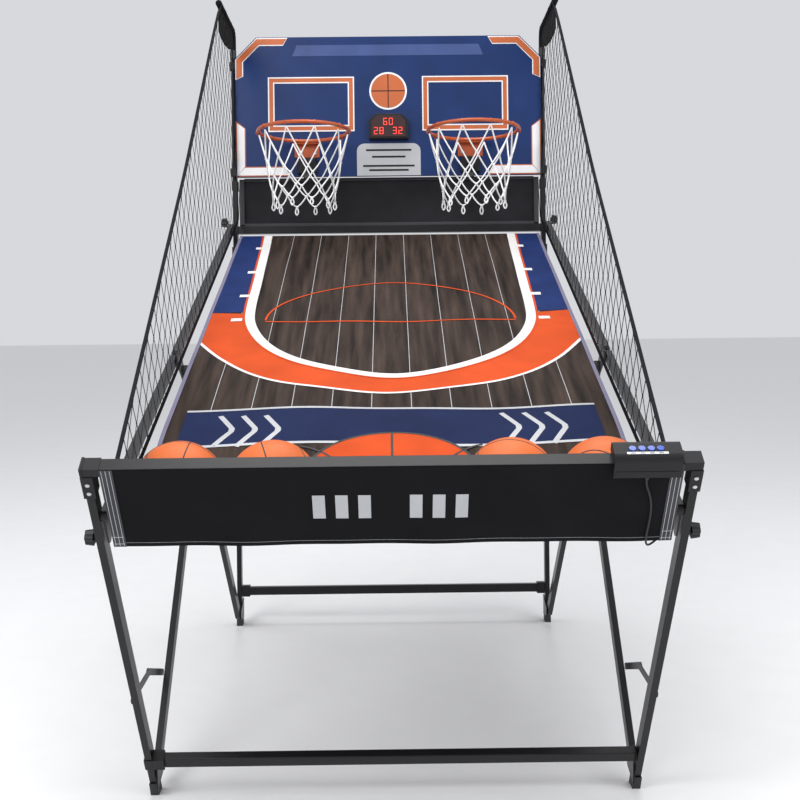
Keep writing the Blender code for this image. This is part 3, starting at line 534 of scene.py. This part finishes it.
def netting(side):
    shape = Shape()
    sway = [rng.uniform(-0.004, 0.004) for _ in range(60)]
    for j in range(MESH_COLUMNS):
        for i in range(MESH_ROWS):
            def node(k):
                bend = MESH_W / 4.2 * (-1) ** (j + k)
                return Vector((MESH_START[0] + j * MESH_W / 2 + bend + sway[(j + k) % 60] * 0.5,
                               MESH_START[1] + k * MESH_H / 2))
            part = clip(node(i), node(i + 1))
            if part:
                tips = [Vector((side * net_x(*p), *p)) for p in part]
                shape.tube(tips, 0.0009, 4)
                if (part[0] - node(i)).length < 1e-6 and (i + j) % 2 == 0:
                    shape.knot(tips[0], 0.0021)
    return shape


def ribbon(shape, points, width, across, tag=0, thick=0.0014):
    """A flat strap along points, widened along a direction."""
    across = Vector(across).normalized() * width / 2
    points = [Vector(p) for p in points]
    out = across.cross(points[-1] - points[0]).normalized() * thick / 2
    rows = [[p - across - out, p + across - out, p + across + out, p - across + out,
             p - across - out] for p in points]
    shape.grid(rows, tag)
    shape.add(rows[0][:4], [(0, 1, 2, 3)], tag)
    shape.add(rows[-1][:4], [(0, 1, 2, 3)], tag)


def span(a, b, count, sag=0.0):
    a, b = Vector(a), Vector(b)
    return [a + (b - a) * i / count - Vector((0, 0, sag * math.sin(math.pi * i / count)))
            for i in range(count + 1)]


soft_fold = []
for label, side in SIDES:
    net = netting(side).piece(f"side_netting_{label}", NETTING, "rear_frame", "net_black")
    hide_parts(f"side_net_{label}")
    straps = Shape()
    front, low, low_rear, high_rear, tip = NET_CORNERS
    for a, b in ((tip, front), (tip, high_rear), (high_rear, low_rear), (low_rear, low), (low, front)):
        line = [Vector((side * net_x(*p), *p)) for p in
                (a + (b - a) * i / 24 for i in range(25))]
        direction, wide = b - a, (a, b) == (tip, front)
        ribbon(straps, line, 0.030 if wide else 0.014,
               (side * 0.6 * direction.length * wide, -direction.y, direction.x))
    soft_fold += [net, straps.piece(f"net_border_{label}", FABRIC, "rear_frame", "black_fabric")]

# --- backboard print ------------------------------------------------------------------------
board = Shape()
BOARD_MATS = [WHITE, PRINT_ORANGE, LIGHT_BLUE, PANEL, RED, PLASTIC]
B_WHITE, B_ORANGE, B_LIGHT, B_PANEL, B_RED, B_BLACK = range(6)


def plate(points, tag, lift, thick=0.0004, face=BOARD_FACE):
    """A thin flat shape on the board, its outline in board coordinates."""
    front = [rear(x, face - lift - thick, z) for x, z in points]
    back = [rear(x, face - lift, z) for x, z in points]
    n = len(points)
    board.add(front + back, [tuple(range(n)), tuple(range(n, 2 * n))[::-1]]
              + [(i, (i + 1) % n, n + (i + 1) % n, n + i) for i in range(n)], tag)


def box2(x0, x1, z0, z1):
    return [(x0, z0), (x1, z0), (x1, z1), (x0, z1)]


def border(x0, x1, z0, z1, width, tag, lift):
    for part in (box2(x0, x1, z0, z0 + width), box2(x0, x1, z1 - width, z1),
                 box2(x0, x0 + width, z0 + width, z1 - width),
                 box2(x1 - width, x1, z0 + width, z1 - width)):
        plate(part, tag, lift)


for side in (-1, 1):
    def pts(points):
        return [(side * x, z) for x, z in points]
    h, top, cut = BOARD_HALF_X - 0.002, BOARD_HIGH - 0.002, BOARD_CUT
    for inset, tag, lift in ((0.0, B_WHITE, 0.0003), (0.0035, B_ORANGE, 0.0009)):
        a, w = inset, 0.026 - inset
        plate(pts([(h - a, 1.800 + a), (h - a, top - cut), (h - w, top - cut - 0.008),
                   (h - w, 1.812)]), tag, lift)
        plate(pts([(h - a, top - cut), (h - cut, top - a), (h - cut - 0.008, top - w),
                   (h - w, top - cut - 0.008)]), tag, lift)
        plate(pts([(h - cut, top - a), (0.330 + a, top - a), (0.345, top - w),
                   (h - cut - 0.008, top - w)]), tag, lift)
    for inset, tag, lift in ((0.0, B_ORANGE, 0.0003), (0.0035, B_WHITE, 0.0009)):
        a, w = inset, 0.032 - inset
        plate(pts([(h - a, BOARD_LOW + 0.002 + a), (h - a, 1.665 - 2 * a), (h - w, 1.640),
                   (h - w, BOARD_LOW + 0.034)]), tag, lift)
        plate(pts([(h - a, BOARD_LOW + 0.002 + a), (h - w, BOARD_LOW + 0.034 - a),
                   (0.345 + a, BOARD_LOW + 0.034 - a), (0.325 + a, BOARD_LOW + 0.002 + a)]),
              tag, lift)
    low, high = sorted((side * 0.112, side * 0.396))
    border(low, high, 1.628, 1.808, 0.021, B_ORANGE, 0.0003)
    border(low, high, 1.628, 1.808, 0.004, B_WHITE, 0.0009)
    border(low + 0.017, high - 0.017, 1.645, 1.791, 0.004, B_WHITE, 0.0009)

plate([(-0.315, 1.877), (0.315, 1.877), (0.300, 1.913), (-0.300, 1.913)], B_LIGHT, 0.0003)
plate([(x, z) for x, z in arc((0, 1.760), 0.062, 0, 352.5, 47)], B_WHITE, 0.0003)
plate([(x, z) for x, z in arc((0, 1.760), 0.056, 0, 352.5, 47)], B_ORANGE, 0.0009)
for x0, x1, z0, z1 in ((-0.056, 0.056, 1.7585, 1.7615), (-0.0015, 0.0015, 1.704, 1.816)):
    plate(box2(x0, x1, z0, z1), B_BLACK, 0.0014)
panel = [(0.105, 1.481), (0.105, 1.562)] + arc((0.080, 1.562), 0.025, 0, 90, 6) \
    + arc((-0.080, 1.562), 0.025, 90, 180, 6) + [(-0.105, 1.481)]
plate(panel, B_PANEL, 0.0003)
for z, reach in ((1.562, 0.075), (1.540, 0.055), (1.510, 0.085), (1.496, 0.065)):
    plate(box2(-reach, reach, z, z + 0.006), B_BLACK, 0.0009)

LENS_FACE = -0.0571
SEGMENTS = {"0": "abcdef", "3": "abcdg", "6": "acdefg", "2": "abdeg", "8": "abcdefg"}


def digit(x, z, w, h, value):
    t = w * 0.20
    bars = {"a": (0, w, h - t, h), "g": (0, w, h / 2 - t / 2, h / 2 + t / 2), "d": (0, w, 0, t),
            "f": (0, t, h / 2, h), "e": (0, t, 0, h / 2), "b": (w - t, w, h / 2, h),
            "c": (w - t, w, 0, h / 2)}
    for name in SEGMENTS[value]:
        x0, x1, z0, z1 = bars[name]
        plate(box2(x + x0 + 0.0006, x + x1 - 0.0006, z + z0 + 0.0006, z + z1 - 0.0006), B_RED,
              0.0003, face=LENS_FACE)


for x, z, text in ((-0.048, 1.612, "28"), (0.014, 1.612, "32"), (-0.017, 1.642, "60")):
    for i, value in enumerate(text):
        digit(x + i * 0.0185, z, 0.013, 0.023, value)
board.piece("backboard_print", BOARD_MATS, "rear_frame", "backboard_print")

NET_CORD_R, NET_KNOT, NET_LOOPS = 0.0024, 0.0052, 10

# --- hoops and their nets -------------------------------------------------------------------
for label, side in SIDES:
    x = side * HOOP_X
    top = HOOP_Z - 0.011
    profile = [(HOOP_R - 0.003, top), (HOOP_R - 0.022, top - 0.082), (NET_LOW_R + 0.010, top - 0.136),
               (NET_LOW_R + 0.002, top - 0.178), (NET_LOW_R - 0.003, top - 0.214)]
    cords, loops = Shape(), NET_LOOPS

    def net_point(row, k, push=0.0):
        r, z = profile[row]
        a = math.tau * (k + 0.5 * (row % 2)) / loops
        return rear(x + (r + push) * math.cos(a), HOOP_Y + (r + push) * math.sin(a), z)

    for row in range(len(profile) - 1):
        for k in range(loops):
            for other in ((k, k - 1) if row % 2 == 0 else (k, k + 1)):
                a, b = net_point(row, k), net_point(row + 1, other)
                slack = rng.uniform(0.001, 0.007)
                cords.tube(span(a, b, 5, slack), NET_CORD_R, 6)
            if row:
                cords.knot(net_point(row, k), NET_KNOT)
    last = len(profile) - 1
    for k in range(loops):
        a = net_point(last, k)
        swing = rear(0, rng.uniform(-0.008, 0.008), -rng.uniform(0.020, 0.028)) - rear(0, 0, 0)
        cords.tube(smooth_path([a, a + swing * 0.6 + Vector((0.005, 0, 0)), a + swing,
                                a + swing * 0.6 - Vector((0.005, 0, 0)), a], 3), NET_CORD_R, 6)
        cords.knot(a, NET_KNOT)
    net = cords.piece(f"hoop_net_cords_{label}", CORD, "rear_frame", "net_white", 60)
    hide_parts(f"hoop_net_{label}")
    hooks = Shape()
    for k in range(loops):
        a = math.tau * k / loops
        around = Vector((math.cos(a), math.sin(a)))
        loop = []
        for i in range(9):
            t = math.radians(-70 + 230 * i / 8)
            out = HOOP_R - 0.001 + 0.0078 * math.cos(t)
            loop.append(rear(x + out * around.x, HOOP_Y + out * around.y,
                             HOOP_Z - 0.002 + 0.0085 * math.sin(t)))
        hooks.tube(loop, 0.0012, 5)
    hooks.piece(f"net_hooks_{label}", ORANGE, "rear_frame", "hoop_orange", 60)
    bolts = Shape()
    face = BOARD_FACE - 0.0035
    for dx in (-0.026, 0.026):
        bolts.disc(rear(x + dx, face, 1.555), rear(0, -1, 0) - rear(0, 0, 0), 0.0065, 0.003)
        bolts.disc(rear(x + dx, face - 0.003, 1.555), rear(0, -1, 0) - rear(0, 0, 0), 0.0045,
                   0.0028, 6)
    bolts.piece(f"hoop_bolts_{label}", ZINC, "rear_frame", "hoop_orange")
    stops = Shape()
    stops.block((x - 0.018, -0.0545, 1.492), (x + 0.018, -0.0505, 1.500), rear)
    stops.piece(f"sensor_sill_{label}", PLASTIC, "rear_frame", "black_plastic")

# --- balls ----------------------------------------------------------------------------------
for number, x in enumerate(BALL_X, start=1):
    ball = Shape()
    turn = Matrix.Rotation(rng.uniform(0, 3), 3, "X") @ Matrix.Rotation(rng.uniform(0, 3), 3, "Z") \
        @ Matrix.Rotation(rng.uniform(0, 3), 3, "Y")
    centre = Vector((x, *BALL_YZ))
    rows = []
    for i in range(33):
        v = math.pi * i / 32
        rows.append([centre + turn @ Vector((math.sin(v) * math.cos(u), math.sin(v) * math.sin(u),
                                             math.cos(v))) * BALL_R
                     for u in (math.tau * j / 64 for j in range(65))])
    ball.grid(rows)
    seams = [[(math.cos(a), math.sin(a), 0) for a in (math.tau * i / 72 for i in range(72))],
             [(math.cos(a), 0, math.sin(a)) for a in (math.tau * i / 72 for i in range(72))]]
    for s in (-1, 1):
        seams.append([(0.55 * math.cos(a), s * (0.66 + 0.10 * math.cos(2 * a)),
                       0.55 * math.sin(a)) for a in (math.tau * i / 72 for i in range(72))])
    for seam in seams:
        ball.tube([centre + turn @ Vector(p).normalized() * (BALL_R - 0.0012) for p in seam],
                  0.0018, 6, 1, True)
    piece = ball.piece(f"basketball_{number}", [BALL, SEAM], f"ball_{number}", "ball_orange", 60)
    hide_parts(f"ball_{number}")

# --- cloth behind the hoops, apron and sleeves ----------------------------------------------
BACKDROP_HALF_X, BACKDROP_LOW, BACKDROP_HIGH = 0.497, 1.3225, 0.155


def backdrop_point(u, v):
    """u across and v up, each from 0 to 1, with gathers towards the corners."""
    x, z = -BACKDROP_HALF_X + 2 * BACKDROP_HALF_X * u, BACKDROP_LOW + BACKDROP_HIGH * v
    corner = max(0.0, 1 - min(u, 1 - u) / 0.16)
    y = 0.0022 * math.sin(31 * u + 2 * v) * math.sin(math.pi * v) \
        + 0.0045 * corner * math.sin(70 * u + 5 * v) * math.sin(math.pi * v)
    return rear(x, y, z)


back = Shape()
back.grid([[backdrop_point(j / 160, i / 18) for j in range(161)] for i in range(19)])
backdrop = back.piece("backdrop_cloth", CHARCOAL, "rear_frame", "charcoal_fabric")
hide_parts("backdrop_fabric")
trim = Shape()
for side in (-1, 1):
    ribbon(trim, span(rear(side * 0.4885, -0.0058, 1.326), rear(side * 0.4885, -0.0058, 1.474), 8),
           0.016, (1, 0, 0))
for z in (1.3255, 1.4745):
    ribbon(trim, span(rear(-0.480, -0.0040, z), rear(0.480, -0.0040, z), 20), 0.010, (0, 0.1, 1))
trim.piece("backdrop_webbing", WEBBING, "rear_frame", "charcoal_fabric")


def apron_point(u, v, lift=0.0):
    x, z = -APRON_HALF_X + 2 * APRON_HALF_X * u, APRON_TOP - APRON_DROP * v
    wave = 0.0012 * math.sin(19 * u) * v + 0.0008 * math.sin(37 * u + 2 * v) * v
    return leg(x, APRON_FACE + wave - lift, z)


skirt = Shape()
skirt.grid([[apron_point(j / 120, i / 20) for j in range(121)] for i in range(21)])
apron = skirt.piece("apron_cloth", FABRIC, "front_frame", "black_fabric")
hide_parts("front_apron")
deco = Shape()


def apron_patch(u0, u1, v0, v1, tag, lift):
    steps_u, steps_v = max(2, int((u1 - u0) * 120)), max(2, int((v1 - v0) * 20))
    deco.grid([[apron_point(u0 + (u1 - u0) * j / steps_u, v0 + (v1 - v0) * i / steps_v, lift)
                for j in range(steps_u + 1)] for i in range(steps_v + 1)], tag)


for u0, u1 in ((0.000, 0.023), (0.977, 1.000)):
    apron_patch(u0, u1, 0.0, 1.0, 0, 0.0010)
    for k in (0.18, 0.5, 0.82):
        u = u0 + (u1 - u0) * k
        apron_patch(u - 0.0005, u + 0.0005, 0.01, 0.99, 1, 0.0014)
    apron_patch(u0 + 0.002, u1 - 0.002, 0.955, 0.962, 1, 0.0014)
    apron_patch(u0 + 0.002, u1 - 0.002, 0.865, 0.872, 1, 0.0014)
apron_patch(0.023, 0.977, 0.945, 0.948, 1, 0.0006)
for u in (0.36, 0.40, 0.44, 0.53, 0.57, 0.61):
    apron_patch(u, u + 0.022, 0.35, 0.65, 2, 0.0008)
deco.piece("apron_trim", [WEBBING, PANEL, PANEL], "front_frame", "black_fabric")

for label, side in SIDES:
    sleeve = Shape()
    corner = [(-y, z) for y, z in arc((0.035, POLE_TOP - 0.035), 0.035, 180, 90, 8)]
    route = [(0.0, 1.878), (0.0, 1.905)] + corner + [(-ARM_REACH * t, POLE_TOP - ARM_DROP * t)
                                                     for t in (0.3, 0.5, 0.7, 0.9, 1.0)]
    line = [rear(side * POLE_X, y, z) for y, z in route]
    sleeve.tube(line, 0.0098, 14)
    for a, b in zip(line[5::2], line[7::2]):
        sleeve.tube([a, a + (b - a) * 0.06], 0.0104, 14)
    tip = line[-1]
    sleeve.disc(tip, tip - line[-2], 0.0098, 0.004, 14, dome=0.002)
    drop = ((0.035, 0.062), (0.10, 0.080), (0.20, 0.092), (0.28, 0.092), (ARM_REACH, 0.086))
    wall = [[rear(side * (POLE_X + thick), -y, POLE_TOP - ARM_DROP * y / ARM_REACH - depth * k / 6)
             for thick in (-0.0022, 0.0022)] for y, depth in drop for k in range(7)]
    for face in (0, 1):
        sleeve.grid([[wall[i * 7 + k][face] for k in range(7)] for i in range(5)])
    sleeve.grid([[wall[i * 7 + 6][face] for face in (0, 1)] for i in range(5)])
    for i in (0, 4):
        sleeve.grid([[wall[i * 7 + k][face] for face in (0, 1)] for k in range(7)])
    sleeve.piece(f"arm_sleeve_{label}", FABRIC, "rear_frame", "black_fabric", 50)
    hem = Shape()
    hem.tube(span(line[1], line[0], 2), 0.0106, 14)
    hem.piece(f"sleeve_hem_{label}", WEBBING, "rear_frame", "black_fabric", 50)

# --- caps, bolts, rivets and feet -----------------------------------------------------------
caps = Shape()
for side in (-1, 1):
    x = side * 0.5420
    low, high = sorted((x - side * 0.024, side * 0.5520))
    caps.block((low, -LEG_OFFSET - 0.0162, RAIL_Z - 0.0087),
               (high, -LEG_OFFSET + 0.0162, RAIL_Z + 0.0087), leg)
    caps.block((low - 0.001, -LEG_OFFSET - 0.0172, RAIL_Z - 0.0097),
               (low + 0.004, -LEG_OFFSET + 0.0172, RAIL_Z + 0.0097), leg)
    caps.block((side * OUTER_X - 0.011, -LEG_OFFSET - 0.0172, RAIL_Z - 0.060),
               (side * OUTER_X + 0.011, -LEG_OFFSET + 0.0172, RAIL_Z - 0.010), leg)
    caps.block((side * OUTER_X - 0.0105, -LEG_OFFSET - 0.0168, 0.066),
               (side * OUTER_X - side * 0.022 + 0.0105, -LEG_OFFSET + 0.0135, 0.098), leg)
caps.piece("front_rail_caps", PLASTIC, "front_frame", "black_plastic")

screws = Shape()
forward = leg(0, -1, 0) - leg(0, 0, 0)
for side in (-1, 1):
    for z in (RAIL_Z - 0.028, RAIL_Z - 0.048):
        screws.disc(leg(side * OUTER_X, -LEG_OFFSET - 0.0172, z), forward, 0.0042, 0.0016, 14,
                    dome=0.0012)
screws.piece("cap_screws", ZINC, "front_frame", "black_steel")


def heads(name, places, body, radius=0.0075, depth=0.0022, dome=0.0022):
    """Domed fastener heads on both sides, each at an X, Y, Z on the right-hand side."""
    shape = Shape()
    for x, y, z in places:
        for side in (-1, 1):
            shape.disc((side * x, y, z), (side, 0, 0), radius, depth, 18, dome=dome)
    return shape.piece(name, STEEL, body, "black_steel")


STAY_LEG_AT, STAY_STRUT_AT, STAY_LEG_REACH = 0.289, 0.236, 0.182
edge = OUTER_X + HALF_TUBE
leg_end = leg(0, -LEG_OFFSET, STAY_LEG_AT)
strut_end = (FRONT_PIVOT[0] + STAY_STRUT_AT * math.cos(STRUT_ANGLE),
             FRONT_PIVOT[1] + STAY_STRUT_AT * math.sin(STRUT_ANGLE))
half_link = (Vector(strut_end) - Vector(leg_end.yz)) / 2
knee = Vector(leg_end.yz) + half_link + Vector((-half_link.y, half_link.x)).normalized() \
    * math.sqrt(STAY_LEG_REACH ** 2 - half_link.length_squared)
heads("strut_bolts", [(edge - 0.0002, *SCISSOR_PIVOT)], "rear_struts", 0.0095, 0.003, 0.003)
heads("leg_foot_bolts", [(edge - 0.0002, *FRONT_PIVOT)], "front_frame")
heads("rail_hinge_rivets", [(MIDDLE_X + HALF_TUBE - 0.0002, *RAIL_HINGE_FRONT),
                            (MIDDLE_X + HALF_TUBE - 0.0002, *RAIL_HINGE_REAR)], "rear_struts",
      0.0080)
heads("stay_leg_rivets", [(edge + 0.0046, *leg_end.yz)], "leg_stays", 0.0055, 0.001, 0.0012)
heads("stay_strut_rivets", [(edge + 0.0080, *strut_end), (edge + 0.0080, *knee)], "strut_stays",
      0.0055, 0.001, 0.0012)
heads("foot_rivets", [(INNER_X + HALF_TUBE - 0.0002, *REAR_PIVOT)], "rear_frame", 0.0065)

feet = Shape()
for side in (-1, 1):
    x0, x1 = side * INNER_X - 0.0096, side * INNER_X + 0.0096
    feet.add([(x, y, z) for x in (x0, x1) for y, z in
              ((0.7946, 0.0), (0.8336, 0.0), (0.8392, 0.032), (0.8010, 0.032))],
             [(0, 1, 2, 3), (7, 6, 5, 4), (0, 4, 5, 1), (1, 5, 6, 2), (2, 6, 7, 3), (3, 7, 4, 0)])
feet.piece("rear_feet", FOOT, "rear_frame", "black_plastic")
feet = Shape()
for side in (-1, 1):
    foot_y = leg(0, -LEG_OFFSET, -0.035).y
    x0, x1 = side * OUTER_X - 0.0093, side * OUTER_X + 0.0093
    feet.add([(x, foot_y + y, z) for x in (x0, x1) for y, z in
              ((-0.0265, 0.0), (0.0125, 0.0), (-0.0045, 0.033), (-0.0418, 0.033))],
             [(0, 1, 2, 3), (7, 6, 5, 4), (0, 4, 5, 1), (1, 5, 6, 2), (2, 6, 7, 3), (3, 7, 4, 0)])
feet.piece("front_feet", FOOT, "front_frame", "black_plastic")

# --- control box details --------------------------------------------------------------------
label_shape = Shape()
BOX_TOP = RAIL_Z + HALF_TUBE + 0.0223
label_shape.block((0.413, -0.0530, BOX_TOP - 0.0001), (0.486, -0.0476, BOX_TOP + 0.0003), leg)
for i in range(4):
    x = 0.4243 + 0.0165 * i
    label_shape.block((x - 0.0045, -0.0515, BOX_TOP + 0.0003), (x + 0.0045, -0.0498,
                      BOX_TOP + 0.0005), leg, 1)
label_shape.block((0.396, -0.0646, 0.929), (0.507, -0.0640, 0.941), leg, 1)
label_shape.piece("control_label", [WHITE, PLASTIC], "front_frame", "black_plastic")
relief = Shape()
relief.tube([leg(0.4520, -0.0612, 0.9259), leg(0.4520, -0.0611, 0.921)], 0.0034, 12)
relief.piece("lead_relief", RUBBER, "front_frame", "cable_black")

# --- sleeves on the uprights, and cords beside the backdrop ---------------------------------
gear = Shape()
for side in (-1, 1):
    x = side * INNER_X
    gear.block((x - 0.011, -0.0175, 1.222), (x + 0.011, 0.0175, 1.252), rear)
    gear.block((x - 0.010, -0.0170, 1.440), (x + 0.010, 0.0170, 1.470), rear)
    low, high = sorted((x - side * 0.009, x - side * 0.034))
    gear.block((low, -0.014, 0.094), (high, 0.014, 0.130), rear)
gear.piece("upright_sleeves", PLASTIC, "rear_frame", "black_plastic")

guy = Shape()
for side in (-1, 1):
    guy.tube(span(rear(side * 0.497, 0.012, 1.478), rear(side * 0.503, 0.014, 1.345), 8, 0.002),
             0.0011, 6)
guy.piece("backdrop_cords", NETTING, "rear_frame", "net_black", 60)

# --- soft pieces get their own copies of mesh data ------------------------------------------
for piece in soft_fold + [playfield, prints, trough_ends]:
    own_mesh(piece)

bpy.context.scene.view_settings.view_transform = "Standard"

# --- floor and light ------------------------------------------------------------------------
floor_mesh = bpy.data.meshes.new("floor")
floor_mesh.from_pydata([(-14, -8, 0), (14, -8, 0), (14, 16, 0), (-14, 16, 0)], [], [(0, 1, 2, 3)])
floor_mesh.materials.append(finish_of("floor_pale", (0.80, 0.80, 0.80), 0.75, 0, 60, 0.0, 0.01))
floor = bpy.data.objects.new("floor", floor_mesh)
bpy.context.collection.objects.link(floor)

world = bpy.data.worlds.new("studio")
bpy.context.scene.world = world
world.use_nodes = True
world.node_tree.nodes["Background"].inputs["Color"].default_value = (0.95, 0.96, 1.0, 1)
world.node_tree.nodes["Background"].inputs["Strength"].default_value = 0.72


def area_light(name, place, aim, size, power):
    data = bpy.data.lights.new(name, "AREA")
    data.energy, data.size = power, size
    obj = bpy.data.objects.new(name, data)
    bpy.context.collection.objects.link(obj)
    obj.location = place
    obj.rotation_euler = (Vector(aim) - Vector(place)).to_track_quat("-Z", "Y").to_euler()


area_light("key", (-2.4, -3.0, 3.6), (0, 0, 1.0), 2.2, 120)
area_light("fill", (2.8, -2.4, 2.4), (0, 0, 1.0), 2.6, 60)
area_light("top", (0, 0.6, 4.2), (0, 0, 1.0), 2.5, 80)
